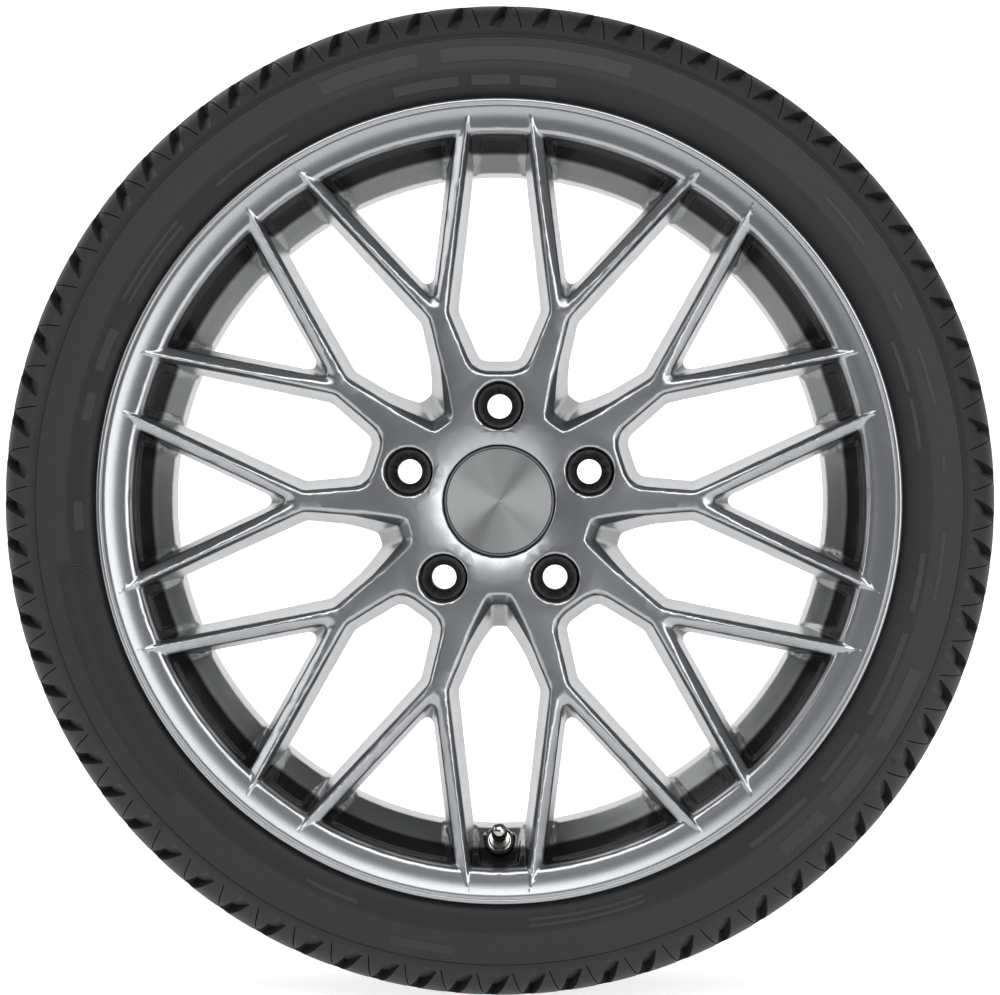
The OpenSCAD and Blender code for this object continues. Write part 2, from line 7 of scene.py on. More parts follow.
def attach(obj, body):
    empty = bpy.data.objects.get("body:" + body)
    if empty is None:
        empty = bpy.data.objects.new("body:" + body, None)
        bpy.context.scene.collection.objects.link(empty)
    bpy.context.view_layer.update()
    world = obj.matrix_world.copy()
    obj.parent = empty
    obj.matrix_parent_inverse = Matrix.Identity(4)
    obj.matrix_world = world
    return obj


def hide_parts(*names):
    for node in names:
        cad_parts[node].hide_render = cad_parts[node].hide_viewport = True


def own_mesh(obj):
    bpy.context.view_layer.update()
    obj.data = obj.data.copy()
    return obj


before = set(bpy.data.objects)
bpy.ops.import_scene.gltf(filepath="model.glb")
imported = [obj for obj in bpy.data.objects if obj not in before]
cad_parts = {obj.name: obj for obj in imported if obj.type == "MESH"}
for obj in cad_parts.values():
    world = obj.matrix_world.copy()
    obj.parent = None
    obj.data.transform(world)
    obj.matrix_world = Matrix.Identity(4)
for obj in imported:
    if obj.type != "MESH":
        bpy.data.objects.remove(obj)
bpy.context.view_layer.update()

# ---------------------------------------------------------------- wheel casting
# Hub, ten forked spokes, barrel and both flanges are one low-pressure aluminium casting.
# Blasting and thick lacquer round its edges. It is finished in hyper silver: a smoked
# metallic base coat under clear coat, with the bolt pockets masked in black.
mm = 0.001
sector = 36                 # degrees from the middle of a bolt window to that of a notch window
sector_margin = 4           # degrees of metal kept past both ends while the slice is softened
weld = 0.001 * mm
casting_voxel = 0.7 * mm
even_steps = 4              # smoothing that takes out the voxel steps, everywhere
soften_steps = 8            # smoothing that rounds the spokes' cast edges
soften_end, soften_fade = 228 * mm, 8 * mm
slice_triangles = 22500
lip_r, lip_y, lip_slope = 218, -98.3, 0.207     # inner edge of the lip, and the cone of its face
lip_face = 231.45           # outer radius of that cone
turned_proud = 0.12         # the lathe's face stands over the cast one
bolt_circle, pocket_r = 56, 14.25


def alone(obj):
    """Selects this object only, and makes it the active one."""
    if bpy.context.object and bpy.context.object.mode != "OBJECT":
        bpy.ops.object.mode_set(mode="OBJECT")
    bpy.ops.object.select_all(action="DESELECT")
    obj.select_set(True)
    bpy.context.view_layer.objects.active = obj
    return obj


def copied(obj, name):
    twin = bpy.data.objects.new(name, obj.data.copy())
    twin.data.name = name
    bpy.context.scene.collection.objects.link(twin)
    return twin


def finished(obj, kind, **settings):
    """Puts a modifier on the object and applies it."""
    alone(obj)
    step = obj.modifiers.new(kind.lower(), kind)
    for name, value in settings.items():
        setattr(step, name, value)
    bpy.ops.object.modifier_apply(modifier=step.name)
    return obj


def edited(obj, *steps):
    """Runs edit-mode steps on the whole of the object's mesh."""
    alone(obj)
    bpy.ops.object.mode_set(mode="EDIT")
    bpy.ops.mesh.select_all(action="SELECT")
    for step in steps:
        step()
    bpy.ops.object.mode_set(mode="OBJECT")
    return obj


def cut(obj, cutter, how="DIFFERENCE"):
    """Takes the cutter out of the object, and then throws the cutter away."""
    finished(obj, "BOOLEAN", operation=how, object=cutter, solver="MANIFOLD")
    bpy.data.objects.remove(cutter)
    return obj


def joined(objs, name, gap=0.002 * mm):
    """Joins the objects into the first one and merges the points that meet."""
    alone(objs[0])
    for obj in objs[1:]:
        obj.select_set(True)
    if len(objs) > 1:
        bpy.ops.object.join()
    objs[0].name = objs[0].data.name = name
    return edited(objs[0], lambda: bpy.ops.mesh.remove_doubles(threshold=gap))


def kept_side(clock, towards):
    """Bisects at a clock angle. Keeps the larger angles, or the smaller ones with -1."""
    a = math.radians(clock)
    bpy.ops.mesh.select_all(action="SELECT")
    bpy.ops.mesh.bisect(plane_co=(0, 0, 0),
                        plane_no=Vector((math.cos(a), 0, -math.sin(a))) * towards,
                        use_fill=False, clear_inner=True, threshold=weld)


def on_clock(obj, clock):
    """Turns a finished mesh to its place on the clock face as seen from the styled side."""
    obj.data.transform(Matrix.Rotation(math.radians(clock), 4, "Y"))
    return obj


# The casting repeats every 72 degrees and mirrors every 36, so one slice is shaped and copied.
casting = edited(copied(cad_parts["wheel"], "wheel_casting"),
                 lambda: bpy.ops.mesh.remove_doubles(threshold=weld))
bpy.ops.object.select_all(action="DESELECT")
bpy.ops.mesh.primitive_cylinder_add(vertices=90, radius=280 * mm, depth=240 * mm,
                                    rotation=(math.radians(90), 0, 0))
wedge = bpy.context.object
bpy.ops.object.transform_apply(location=True, rotation=True, scale=True)
for clock, towards in ((-sector_margin, 1), (sector + sector_margin, -1)):
    a = math.radians(clock)
    edited(wedge, lambda: bpy.ops.mesh.bisect(
        plane_co=(0, 0, 0), plane_no=Vector((math.cos(a), 0, -math.sin(a))) * towards,
        use_fill=True, clear_inner=True))
cut(casting, wedge, "INTERSECT")
finished(casting, "REMESH", mode="VOXEL", voxel_size=casting_voxel)
finished(casting, "SMOOTH", factor=0.5, iterations=even_steps)
spokes_only = casting.vertex_groups.new(name="spokes_only")
for point in casting.data.vertices:
    r = math.hypot(point.co.x, point.co.z)
    spokes_only.add([point.index], min(1, max(0, (soften_end - r) / soften_fade)), "REPLACE")
finished(casting, "SMOOTH", factor=0.5, iterations=soften_steps, vertex_group="spokes_only")
casting.vertex_groups.clear()
soft_slice = casting.data.copy()
finished(casting, "DECIMATE",
         ratio=slice_triangles / sum(len(f.vertices) - 2 for f in casting.data.polygons))
edited(casting, lambda: kept_side(0, 1), lambda: kept_side(sector, -1),
       lambda: bpy.ops.mesh.select_all(action="SELECT"),
       lambda: bpy.ops.mesh.quads_convert_to_tris())
other_half = copied(casting, "other_half")
other_half.data.transform(Matrix.Scale(-1, 4, (1, 0, 0)))
other_half.data.flip_normals()
joined([casting, other_half], "wheel_casting")
joined([casting] + [on_clock(copied(casting, "fifth"), 72 * i) for i in range(1, 5)],
       "wheel_casting")

# The valve's seat: a half boss inside the barrel, and a turned socket down to it.
valve_seat = (Matrix.Translation((0, -60 * mm, -202.3 * mm))
              @ Matrix.Rotation(math.radians(73), 4, "X"))


def valve_rod(d, low, high, place=Matrix()):
    """A round rod along the valve's axis, from one height above its seat to another."""
    bpy.ops.object.select_all(action="DESELECT")
    bpy.ops.mesh.primitive_cylinder_add(vertices=64, radius=d / 2 * mm, depth=(high - low) * mm,
                                        location=(0, 0, (low + high) / 2 * mm))
    rod = bpy.context.object
    bpy.ops.object.transform_apply(location=True, rotation=True, scale=True)
    rod.data.transform(valve_seat @ place)
    return rod


boss = valve_rod(19.2, -9, 0)
edited(boss, lambda: bpy.ops.mesh.bisect(
    plane_co=valve_seat.to_translation(), plane_no=valve_seat.to_3x3().col[1],
    use_fill=True, clear_inner=True))
cut(casting, boss, "UNION")
cut(casting, valve_rod(18, 0, 18))
cut(casting, valve_rod(17.4, 0, 18, Matrix.Translation((0, -8.8 * mm, 0.4 * mm))
                       @ Matrix.Rotation(math.radians(17), 4, "X")
                       @ Matrix.Translation((0, 8.7 * mm, 0))))
cut(casting, valve_rod(11.3, -6, 1))
cut(casting, valve_rod(14.6, -21, -5))


def turned(name, line, steps, sweep=360, first=0):
    """Spins a closed line of (radius, place along the axis), in millimetres, round the axis."""
    a = math.radians(first)
    mesh = bpy.data.meshes.new(name)
    mesh.from_pydata([(r * math.sin(a) * mm, y * mm, r * math.cos(a) * mm) for r, y in line],
                     [(i, (i + 1) % len(line)) for i in range(len(line))], [])
    obj = bpy.data.objects.new(name, mesh)
    bpy.context.scene.collection.objects.link(obj)
    if sweep < 360:
        edited(obj, lambda: bpy.ops.mesh.edge_face_add())
    return edited(obj,
                  lambda: bpy.ops.mesh.spin(steps=steps, angle=math.radians(-sweep),
                                            axis=(0, 1, 0), center=(0, 0, 0)),
                  lambda: bpy.ops.mesh.select_all(action="SELECT"),
                  lambda: bpy.ops.mesh.remove_doubles(threshold=weld),
                  lambda: bpy.ops.mesh.normals_make_consistent(inside=False))


# The face and the rolled outer edge of the lip are turned on a lathe after casting, so the
# softened edge is cut away and a crisp ring is put back.
cut(casting, turned("lip_cutter", [(229.8, -104), (229.8, -97.6), (236.4, -97.6), (236.4, -104)],
                    240))
lip_front = [(r, lip_y - turned_proud - (r - lip_r) * lip_slope)
             for r in (220.3, 222, 224, 226, 228, 230, lip_face)]
cut(casting, turned("turned_lip", [(219.3, -98.3)] + lip_front + [
    (231.8, -101.1), (232.1, -100.78), (232.4, -100.78), (232.7, -101.15), (233.1, -101.5),
    (233.7, -101.6), (234.3, -101.55), (234.9, -101.3), (235.35, -100.8), (235.6, -100.1),
    (235.6, -98.5), (235.5, -97.2), (235.1, -96), (229.2, -96.4), (228.6, -99.3), (219.6, -97.5)],
    360), "UNION")

# Bolt pockets with their conical seats are machined, so their edges are crisp too.
pocket_tools = []
for i in range(5):
    tool = turned("pocket_tool", [(0, -98), (pocket_r, -98), (pocket_r, -72.2), (13.9, -71.9),
                                  (12.75, -71.9), (12.75, -69.9), (7.3, -60.5), (7.3, -38),
                                  (0, -38)], 72)
    tool.data.transform(Matrix.Translation((0, 0, bolt_circle * mm)))
    pocket_tools.append(on_clock(tool, 72 * i))
cut(casting, joined(pocket_tools, "pocket_tools"))

# The smooth slice's own normals are given back to the thinned mesh, so that highlights run clean.
# On the lip's face they turn outwards as on a shallow cove. Machined faces keep their own.
lip_cone = math.radians(11.7)
cove_flat, cove_turn = math.radians(4), math.radians(14)
cove_start, cove_width = 220, 7
on_cone_within, same_way, near_way = 0.45, 0.975, 0.87
slice_reach = 0.8 * mm
nearest = kdtree.KDTree(len(soft_slice.vertices))
for i, point in enumerate(soft_slice.vertices):
    nearest.insert(point.co, i)
nearest.balance()
slice_normals = [n.vector.copy() for n in soft_slice.vertex_normals]


def unfolded(normal, flip):
    """A normal of the slice, mirrored into the other half of the fifth where flip is set."""
    if not flip:
        return normal
    return Matrix.Rotation(math.radians(72), 3, "Y") @ Vector((-normal.x, normal.y, normal.z))


casting_normals = []
for point in casting.data.vertices:
    angle = math.degrees(math.atan2(point.co.x, point.co.z))
    clock = angle % 72
    turn = Matrix.Rotation(math.radians(clock - angle), 3, "Y")
    in_fifth = turn @ point.co
    place = in_fifth
    flip = clock > sector
    if flip:
        place = Matrix.Rotation(math.radians(-72), 3, "Y") @ place
        place.x = -place.x
    own = casting.data.vertex_normals[point.index].vector
    r = math.hypot(point.co.x, point.co.z)
    off_cone = abs(point.co.y / mm - lip_y + (r / mm - lip_r) * lip_slope)
    if off_cone < on_cone_within and (lip_r + 0.5) * mm < r < (lip_face + 0.05) * mm:
        inward = Vector((-point.co.x / r, 0, -point.co.z / r))
        cone = inward * math.sin(lip_cone) - Vector((0, math.cos(lip_cone), 0))
        if own.dot(cone) > same_way:
            cove = cove_flat + cove_turn * min(1, max(0, (r / mm - cove_start) / cove_width))
            casting_normals.append(inward * math.sin(cove) - Vector((0, math.cos(cove), 0)))
            continue
    bolts = [Matrix.Rotation(math.radians(a), 3, "Y") @ Vector((0, point.co.y, bolt_circle * mm))
             for a in (0, 72)]
    in_pocket = min((in_fifth - bolt).length for bolt in bolts) < (pocket_r + 0.15) * mm
    on_lip = point.co.y < -95 * mm and r > (lip_face - 0.05) * mm
    _, i, gap = nearest.find(place)
    normal = turn.inverted() @ unfolded(slice_normals[i], flip)
    if in_pocket or on_lip or gap > slice_reach or own.dot(normal) < near_way:
        normal = (0, 0, 0)
    casting_normals.append(normal)
alone(casting)
bpy.ops.object.shade_smooth_by_angle(angle=math.radians(50))
casting.data.normals_split_custom_set_from_vertices(casting_normals)
bpy.data.meshes.remove(soft_slice)


def linear(hex_colour):
    """An sRGB hex colour as the linear RGBA that the shaders use."""
    parts = [int(hex_colour[i:i + 2], 16) / 255 for i in (1, 3, 5)]
    return [c / 12.92 if c <= 0.04045 else ((c + 0.055) / 1.055) ** 2.4 for c in parts] + [1]


def finish_for(name):
    """A new material, and its principled shader."""
    material = bpy.data.materials.new(name)
    material.use_nodes = True
    return material, material.node_tree.nodes["Principled BSDF"]


def add(material, kind, inputs=(), **settings):
    """Adds one node with its settings. An input is a value or the output socket to link from."""
    made = material.node_tree.nodes.new(kind)
    for name, value in settings.items():
        setattr(made, name, value)
    fill(material, made, inputs)
    return made


def fill(material, made, inputs):
    for key, value in dict(inputs).items():
        if isinstance(value, bpy.types.NodeSocket):
            material.node_tree.links.new(value, made.inputs[key])
        else:
            made.inputs[key].default_value = value


def worn(obj, material):
    """Gives the object this finish only."""
    obj.data.materials.clear()
    obj.data.materials.append(material)
    obj.data.polygons.foreach_set("material_index", [0] * len(obj.data.polygons))
    return obj


# Hyper silver: metal flake in a smoked base coat, so flats look slate and edges bright. The
# flake is 0.4 mm and the orange peel of the clear coat 3 mm. The undercut behind the lip is
# painted near black as painted shade, and faces deep in the windows and on the barrel are
# painted darker with depth, also painted shade. The bolt pockets are masked and painted black.
hyper_silver, shader = finish_for("hyper_silver_lacquer")
place = add(hyper_silver, "ShaderNodeTexCoord").outputs["Object"]
flake = add(hyper_silver, "ShaderNodeTexNoise", {"Vector": place, "Scale": 2500, "Detail": 2})
peel = add(hyper_silver, "ShaderNodeTexNoise", {"Vector": place, "Scale": 330, "Detail": 1})
axes = add(hyper_silver, "ShaderNodeSeparateXYZ", {"Vector": place})
flat = add(hyper_silver, "ShaderNodeVectorMath", {0: place, 1: (1, 0, 1)}, operation="MULTIPLY")
out = add(hyper_silver, "ShaderNodeVectorMath", {0: flat.outputs["Vector"]},
          operation="LENGTH").outputs["Value"]

# The angle is folded to one fifth, and the squared distance to its bolt's axis follows by the
# cosine rule.
bolt_at = bolt_circle * mm
angle = add(hyper_silver, "ShaderNodeMath", {0: axes.outputs["X"], 1: axes.outputs["Z"]},
            operation="ARCTAN2")
angle = add(hyper_silver, "ShaderNodeMath",
            {0: angle.outputs["Value"], 1: math.radians(sector), 2: math.radians(-sector)},
            operation="WRAP")
along = add(hyper_silver, "ShaderNodeMath", {0: angle.outputs["Value"]}, operation="COSINE")
along = add(hyper_silver, "ShaderNodeMath", {0: along.outputs["Value"], 1: out},
            operation="MULTIPLY")
bolt = add(hyper_silver, "ShaderNodeMath",
           {0: along.outputs["Value"], 1: -2 * bolt_at, 2: bolt_at ** 2},
           operation="MULTIPLY_ADD")
bolt = add(hyper_silver, "ShaderNodeMath", {0: out, 1: out, 2: bolt.outputs["Value"]},
           operation="MULTIPLY_ADD")
pocket = add(hyper_silver, "ShaderNodeMapRange",
             {"Value": bolt.outputs["Value"], "From Min": ((pocket_r + 0.25) * mm) ** 2,
              "From Max": ((pocket_r + 0.1) * mm) ** 2})
front = add(hyper_silver, "ShaderNodeMath", {0: axes.outputs["Y"], 1: -49 * mm},
            operation="LESS_THAN")
masked = add(hyper_silver, "ShaderNodeMath",
             {0: pocket.outputs["Result"], 1: front.outputs["Value"]},
             operation="MULTIPLY").outputs["Value"]
# The undercut behind the lip is coloured near black: painted shade where little light reaches.
inner = add(hyper_silver, "ShaderNodeMapRange",
            {"Value": out, "From Min": 203.5 * mm, "From Max": 206 * mm},
            interpolation_type="SMOOTHSTEP")
behind = add(hyper_silver, "ShaderNodeMapRange",
             {"Value": axes.outputs["Y"], "From Min": -96.2 * mm, "From Max": -92.5 * mm},
             interpolation_type="SMOOTHSTEP")
undercut_painted_shade = add(hyper_silver, "ShaderNodeMath",
               {0: inner.outputs["Result"], 1: behind.outputs["Result"]}, operation="MULTIPLY")
fore = add(hyper_silver, "ShaderNodeMath", {0: axes.outputs["Y"], 1: -30 * mm},
           operation="LESS_THAN")
undercut_painted_shade = add(hyper_silver, "ShaderNodeMath",
               {0: undercut_painted_shade.outputs["Value"], 1: fore.outputs["Value"]},
               operation="MULTIPLY").outputs["Value"]
# Faces deeper behind the spokes' front, down to the barrel, are painted darker: painted shade in
# the windows' depth.
depth_painted_shade = add(hyper_silver, "ShaderNodeMapRange",
           {"Value": axes.outputs["Y"], "From Min": -88 * mm, "From Max": -52 * mm,
            "To Max": 0.7}).outputs["Result"]
tone = add(hyper_silver, "ShaderNodeMix",
           {"Factor": flake.outputs["Fac"], "A": linear("#8f9194"), "B": linear("#b4b6b9")},
           data_type="RGBA")
# The depth and undercut colours are painted shade. The black of the bolt pockets is their own
# paint.
for cover, colour in ((depth_painted_shade, "#686a66"), (undercut_painted_shade, "#161717"), (masked, "#060606")):
    tone = add(hyper_silver, "ShaderNodeMix",
               {"Factor": cover, "A": tone.outputs["Result"], "B": linear(colour)},
               data_type="RGBA")
rough = add(hyper_silver, "ShaderNodeMath", {0: masked, 1: 0.25, 2: 0.3},
            operation="MULTIPLY_ADD")
rough = add(hyper_silver, "ShaderNodeMath", {0: undercut_painted_shade, 1: 0.4, 2: rough.outputs["Value"]},
            operation="MULTIPLY_ADD")
bump = add(hyper_silver, "ShaderNodeBump",
           {"Height": peel.outputs["Fac"], "Strength": 0.04, "Distance": 0.2 * mm})
fill(hyper_silver, shader, {"Base Color": tone.outputs["Result"], "Metallic": 0.96,
                            "Roughness": rough.outputs["Value"], "Normal": bump.outputs["Normal"],
                            "Coat Weight": 0.15, "Coat Roughness": 0.12})
worn(casting, hyper_silver)
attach(casting, "wheel_body")
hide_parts("wheel")

# ---------------------------------------------------------------- tyre
# A radial summer tyre: tread, shoulders, sidewalls and beads are vulcanised as one piece in
# a segmented mould. Black natural and synthetic rubber, stretched over the rim's two seats.
tyre_steps = 360
crown_r, crown_drop, crown_half = 295, 2, 60    # the tread falls by the drop over half its width
groove_pitch, groove_floor = 34, 287.2
pitches = 76                # shoulder blocks round the tyre
pitch = 360 / pitches
pitch_swing = 0.9           # degrees by which block lengths vary, against tread noise
tyre_half = [(217.1, -69.9), (218.5, -87.7), (219.8, -88.9), (226.1, -88.9), (229.3, -89.5),
             (232.0, -91.0), (234.2, -93.0), (236.8, -94.8), (239.6, -96.6), (243.5, -97.5),
             (248, -97.8), (252.4, -97.9), (253.2, -98.0), (256, -98), (261, -97.8),
             (265, -97.4), (268.5, -96.9), (271.2, -96.4), (271.5, -96.1), (271.9, -96.5),
             (272.4, -96.5), (273.2, -95.8), (275.8, -94.3), (278.5, -92.5), (281.4, -90.3),
             (284, -88), (286.5, -85), (288.6, -81.5), (290.2, -77.4), (291.4, -73),
             (292.4, -67), (293, -60), (293.06, -59)]
tyre_back = [(282.5, -58), (279.5, -72), (272.5, -83), (262, -90), (250, -89.4),
             (237.6, -85), (226.3, -73.4), (219.3, -69.9)]


def crown_at(y):
    return crown_r - crown_drop * (y / crown_half) ** 2


tread = []
for i in range(4):
    y = (i - 1.5) * groove_pitch
    tread += [(crown_at(y - 4.5), y - 4.5), (groove_floor + 0.5, y - 3.1), (groove_floor, y - 2.6),
              (groove_floor, y + 2.6), (groove_floor + 0.5, y + 3.1), (crown_at(y + 4.5), y + 4.5)]
    if i < 3:
        tread += [(crown_at(y + groove_pitch / 2), y + groove_pitch / 2)]
tyre_line = (tyre_half + tread + [(r, -y) for r, y in reversed(tyre_half)]
             + [(r, -y) for r, y in tyre_back] + tyre_back[::-1])
tyre = turned("tyre_moulding", tyre_line, tyre_steps)


def slab(name, outline, width, place):
    """A flat cutter: an outline of (radius, place along the axis), thickened across the clock."""
    mesh = bpy.data.meshes.new(name)
    mesh.from_pydata([(0, y * mm, r * mm) for r, y in outline], [], [list(range(len(outline)))])
    obj = bpy.data.objects.new(name, mesh)
    bpy.context.scene.collection.objects.link(obj)
    finished(obj, "SOLIDIFY", thickness=width * mm, offset=0)
    obj.data.transform(place)
    return edited(obj, lambda: bpy.ops.mesh.normals_make_consistent(inside=False))


def about(r, y, slant, lean):
    """Turns a cutter about a point: slanted across the tread, and leaning on the sidewall."""
    foot = Matrix.Translation((0, y * mm, r * mm))
    return (foot @ Matrix.Rotation(math.radians(lean), 4, "Y")
            @ Matrix.Rotation(math.radians(slant), 4, "Z") @ foot.inverted())


def groove_clock(i):
    return pitch * i + pitch_swing * math.sin(math.radians(5 * pitch * i))


# One shoulder groove and one fine sipe are cut in the mould's segment and repeated round it.
shoulder_groove = slab("shoulder_groove", [(301, -59.5), (287.6, -61), (284.6, -72), (281, -82),
                                           (276.6, -91.4), (279.5, -110), (301, -110)], 7.4,
                       about(284, -90, -11, 16))
sipe = slab("sipe", [(301, -60), (289, -60.5), (288, -72), (284.5, -82), (276.5, -92.6),
                     (277, -110), (301, -110)], 0.7, about(284, -90, 9, -8))
rib_sipe = slab("rib_sipe", [(300, -11.5), (289, -11), (289, 11), (300, 11.5)], 0.8,
                about(290, 0, 32, 0))
for one, shift in ((shoulder_groove, 0), (sipe, pitch / 2)):
    rounds = []
    for inboard in (False, True):
        for i in range(pitches):
            twin = copied(one, "round")
            clock = groove_clock(i) + shift
            if inboard:
                twin.data.transform(Matrix.Scale(-1, 4, (0, 1, 0)))
                twin.data.flip_normals()
                clock += pitch / 2
            rounds.append(on_clock(twin, clock))
    bpy.data.objects.remove(one)
    cut(tyre, joined(rounds, "rounds"))
rounds = []
for i in range(pitches):
    for y, turn in ((-groove_pitch, 0), (0, 1.6), (groove_pitch, 3.2)):
        twin = copied(rib_sipe, "round")
        twin.data.transform(Matrix.Translation((0, y * mm, 0)))
        rounds.append(on_clock(twin, groove_clock(i) + turn))
bpy.data.objects.remove(rib_sipe)
cut(tyre, joined(rounds, "rounds"))
alone(tyre)
bpy.ops.object.shade_smooth_by_angle(angle=math.radians(24))

# Vulcanised rubber: carbon black and matt, darker on the smooth lower wall. The mould's cross
# hatch between the two fine ridges has a 1.8 mm pitch, and stops for the blank panel.
rubber, shader = finish_for("vulcanised_rubber")
place = add(rubber, "ShaderNodeTexCoord").outputs["Object"]
grain = add(rubber, "ShaderNodeTexNoise", {"Vector": place, "Scale": 1400, "Detail": 3})
patch = add(rubber, "ShaderNodeTexNoise", {"Vector": place, "Scale": 22, "Detail": 3})
axes = add(rubber, "ShaderNodeSeparateXYZ", {"Vector": place})
flat = add(rubber, "ShaderNodeVectorMath", {0: place, 1: (1, 0, 1)}, operation="MULTIPLY")
out = add(rubber, "ShaderNodeVectorMath", {0: flat.outputs["Vector"]},
          operation="LENGTH").outputs["Value"]
angle = add(rubber, "ShaderNodeMath", {0: axes.outputs["X"], 1: axes.outputs["Z"]},
            operation="ARCTAN2").outputs["Value"]
hatch_lines, hatch_rise = 912, 3490     # lines round the wheel, and their slope per metre outwards
lines = []
for way in (1, -1):
    rise = add(rubber, "ShaderNodeMath", {0: out, 1: way * hatch_rise}, operation="MULTIPLY")
    wave = add(rubber, "ShaderNodeMath", {0: angle, 1: hatch_lines, 2: rise.outputs["Value"]},
               operation="MULTIPLY_ADD")
    lines += [add(rubber, "ShaderNodeMath", {0: wave.outputs["Value"]},
                  operation="SINE").outputs["Value"]]
hatch = add(rubber, "ShaderNodeMath", {0: lines[0], 1: lines[1]}, operation="MAXIMUM")
low = add(rubber, "ShaderNodeMapRange",
          {"Value": out, "From Min": 253.2 * mm, "From Max": 253.8 * mm})
high = add(rubber, "ShaderNodeMapRange",
           {"Value": out, "From Min": 271.2 * mm, "From Max": 270.6 * mm})
band = add(rubber, "ShaderNodeMath", {0: low.outputs["Result"], 1: high.outputs["Result"]},
           operation="MULTIPLY")
panel_clock, panel_half = math.radians(-115), math.radians(17)
aside = add(rubber, "ShaderNodeMath", {0: angle, 1: -panel_clock}, operation="ADD")
aside = add(rubber, "ShaderNodeMath", {0: aside.outputs["Value"]}, operation="ABSOLUTE")
aside = add(rubber, "ShaderNodeMath", {0: aside.outputs["Value"], 1: panel_half},
            operation="GREATER_THAN")
above = add(rubber, "ShaderNodeMath", {0: out, 1: 261.8 * mm}, operation="GREATER_THAN")
aside = add(rubber, "ShaderNodeMath", {0: aside.outputs["Value"], 1: above.outputs["Value"]},
            operation="MAXIMUM")
band = add(rubber, "ShaderNodeMath", {0: band.outputs["Value"], 1: aside.outputs["Value"]},
           operation="MULTIPLY")
hatch = add(rubber, "ShaderNodeMath", {0: hatch.outputs["Value"], 1: band.outputs["Value"]},
            operation="MULTIPLY").outputs["Value"]
tone = add(rubber, "ShaderNodeMix",
           {"Factor": patch.outputs["Fac"], "A": linear("#1f1f20"), "B": linear("#29292a")},
           data_type="RGBA")
upper = add(rubber, "ShaderNodeMapRange",
            {"Value": out, "From Min": 251 * mm, "From Max": 253.5 * mm, "To Max": 0.35})
blocks = add(rubber, "ShaderNodeMapRange",
             {"Value": out, "From Min": 273.5 * mm, "From Max": 276 * mm, "To Max": 0.7})
for cover, colour in ((upper, "#323233"), (blocks, "#353536")):
    tone = add(rubber, "ShaderNodeMix", {"Factor": cover.outputs["Result"],
                                         "A": tone.outputs["Result"], "B": linear(colour)},
               data_type="RGBA")
# The hatch lines are coloured lighter: a painted glint for the light caught on their ridges.
hatch_painted_glint = add(rubber, "ShaderNodeMath", {0: hatch, 1: 0.3}, operation="MULTIPLY")
tone = add(rubber, "ShaderNodeMix", {"Factor": hatch_painted_glint.outputs["Value"],
                                     "A": tone.outputs["Result"], "B": linear("#4a4a4b")},
           data_type="RGBA", clamp_factor=True)
bump = add(rubber, "ShaderNodeBump",
           {"Height": grain.outputs["Fac"], "Strength": 0.25, "Distance": 0.1 * mm})
bump = add(rubber, "ShaderNodeBump", {"Height": hatch, "Strength": 0.5, "Distance": 0.15 * mm,
                                      "Normal": bump.outputs["Normal"]})
fill(rubber, shader, {"Base Color": tone.outputs["Result"], "Roughness": 0.58,
                      "Normal": bump.outputs["Normal"], "Specular IOR Level": 0.3})
worn(tyre, rubber)
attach(tyre, "wheel_body")
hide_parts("tyre")

# ---------------------------------------------------------------- sidewall relief
# Plain raised bars, a blank oval panel with a double rim and small wear pointers are engraved
# in the mould's side plate, so they stand 0.4 mm proud of the wall in the same rubber.
relief_height = 0.4
relief_slope = 0.35         # how far the sides of a bar lean in
sunk = 0.5                  # how far a bar reaches into the wall
panel_line = 1.0            # foot width of the lines round the blank panel
pointers = 7


def wall_at(r):
    """How far out the side wall stands at this radius, in millimetres along the axis."""
    for (r0, y0), (r1, y1) in zip(tyre_half, tyre_half[1:]):
        if r0 <= r <= r1 and r1 > 236:
            return y0 + (y1 - y0) * (r - r0) / (r1 - r0)


def bar(first, last, r0, r1):
    """A plain raised bar between two clock angles and two radii."""
    y0, y1 = wall_at(r0), wall_at(r1)
    line = [(r0, y0 + sunk), (r0, y0), (r0 + relief_slope, y0 - relief_height),
            (r1 - relief_slope, y1 - relief_height), (r1, y1), (r1, y1 + sunk)]
    return turned("bar", line, max(2, round((last - first) / 1.2)), last - first, first)


# Each row of bars shares its two radii and lists the clock angles at which its bars start and end.
relief = [bar(first, last, r0, r1) for r0, r1, spans in (
    (257.5, 266.5, ((-23.5, -10.5), (-7.5, 17))),
    (243, 249.5, ((-14.5, -5.5), (-3.8, 1.5), (2.8, 7.8))),
    (258.5, 267, ((112, 122), (124.5, 132), (134, 141))),
    (247.5, 251.5, ((97, 105), (108, 120), (123, 131), (134, 144))),
    (259, 262, ((47, 55), (62, 64.5), (70, 77.5), (84, 86), (94, 103))),
    (246, 249, ((68, 75), (76, 83))),
    (261, 267, ((186, 194),)),
    (247, 250, ((199.5, 207),)),
    (243, 249, ((266, 270), (281, 285), (288, 294))),
    (244, 246.4, ((160, 176), (298, 311))),
    (247.6, 250, ((160, 176),)),
    (246, 248.6, ((318, 330),)),
    (248, 250.4, ((298, 311),))) for first, last in spans]


def stadium(half, r0, r1, middle, inset):
    """The rim of the blank panel as points (clock, radius). Its long sides follow the wheel."""
    end = (r1 - r0) / 2 - inset
    mid = (r0 + r1) / 2
    run = half * math.radians(1) * mid - end - inset
    points = []
    for way, start in ((1, 90), (-1, 270)):
        points += [(way * run + end * math.cos(math.radians(start - 18 * i)),
                    end * math.sin(math.radians(start - 18 * i))) for i in range(11)]
        points += [(way * run * (1 - 2 * i / 16), -way * end) for i in range(1, 16)]
    return [(middle + math.degrees(s / mid), mid + t) for s, t in points]


